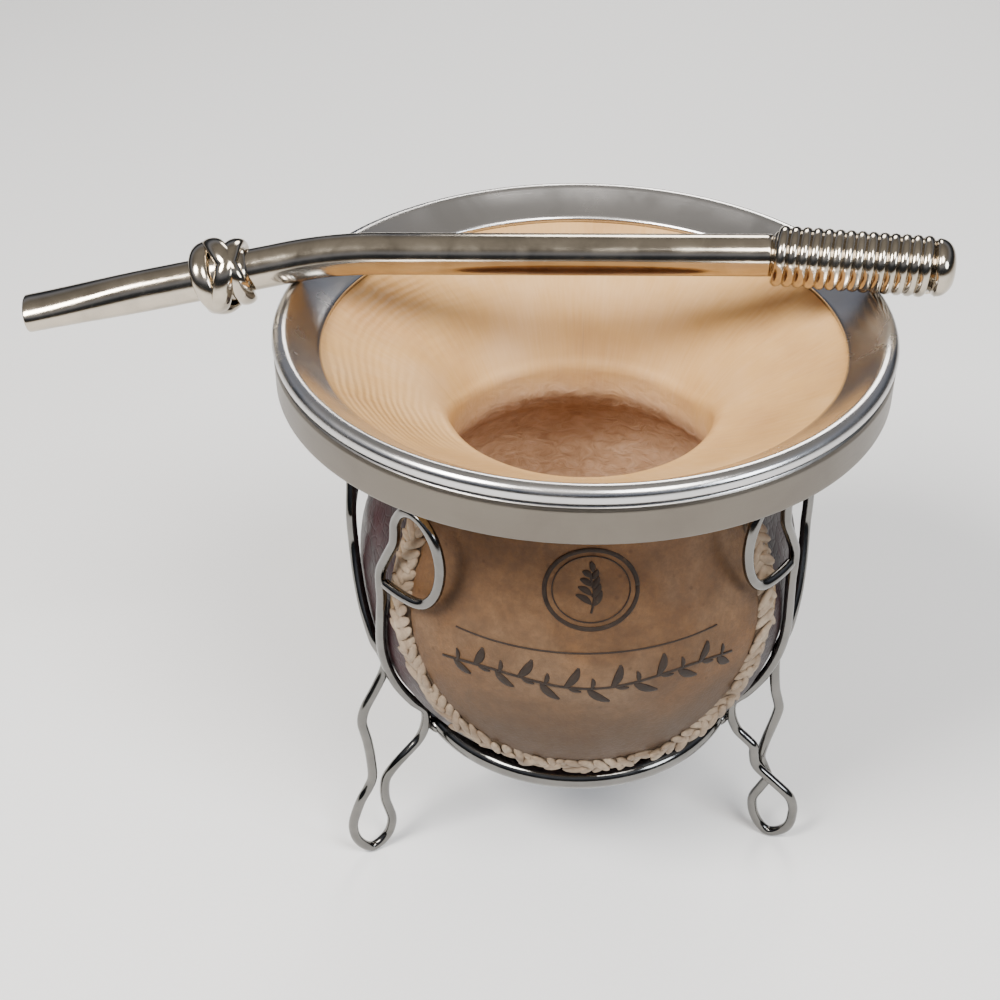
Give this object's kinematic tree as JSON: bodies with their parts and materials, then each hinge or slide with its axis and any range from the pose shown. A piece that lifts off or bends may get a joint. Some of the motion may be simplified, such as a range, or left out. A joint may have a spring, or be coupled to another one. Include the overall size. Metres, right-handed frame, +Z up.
{
  "type": "empty mate gourd with metal straw and wire stand",
  "caption": "Empty round gourd cup in a laced leather cover, with a wide metal rim, a wire stand with feet and eyelets, and a coiled-filter metal straw resting across the rim.",
  "frame": {"origin": "centre of the footprint of the whole, on the surface that the feet stand on", "axes": "+Z up; +X towards the straw's coiled filter; -Y towards the side with the plain front panel"},
  "size_m": [0.1764, 0.116, 0.1332],
  "materials": {
    "gourd_wood": "dry turned gourd, pale at the funnel and browner inside",
    "rim_metal": "satin band with a polished lip and flange",
    "dark_leather": "glossy dark leather",
    "panel_leather": "mottled natural leather with a plain burnt ornament",
    "rawhide": "pale rawhide braid",
    "wire_metal": "polished nickel wire",
    "straw_metal": "polished nickel"
  },
  "bodies": {
    "root": {"gourd": "gourd_wood", "rim": "rim_metal", "leather_cover": "dark_leather", "front_panel": "panel_leather", "lacing": "rawhide", "base_ring": "wire_metal", "leg_left": "wire_metal", "leg_right": "wire_metal", "leg_back": "wire_metal", "straw_tube": "straw_metal", "straw_knot": "straw_metal", "straw_coil": "straw_metal", "straw_cap": "straw_metal"}
  },
  "joints": []
}
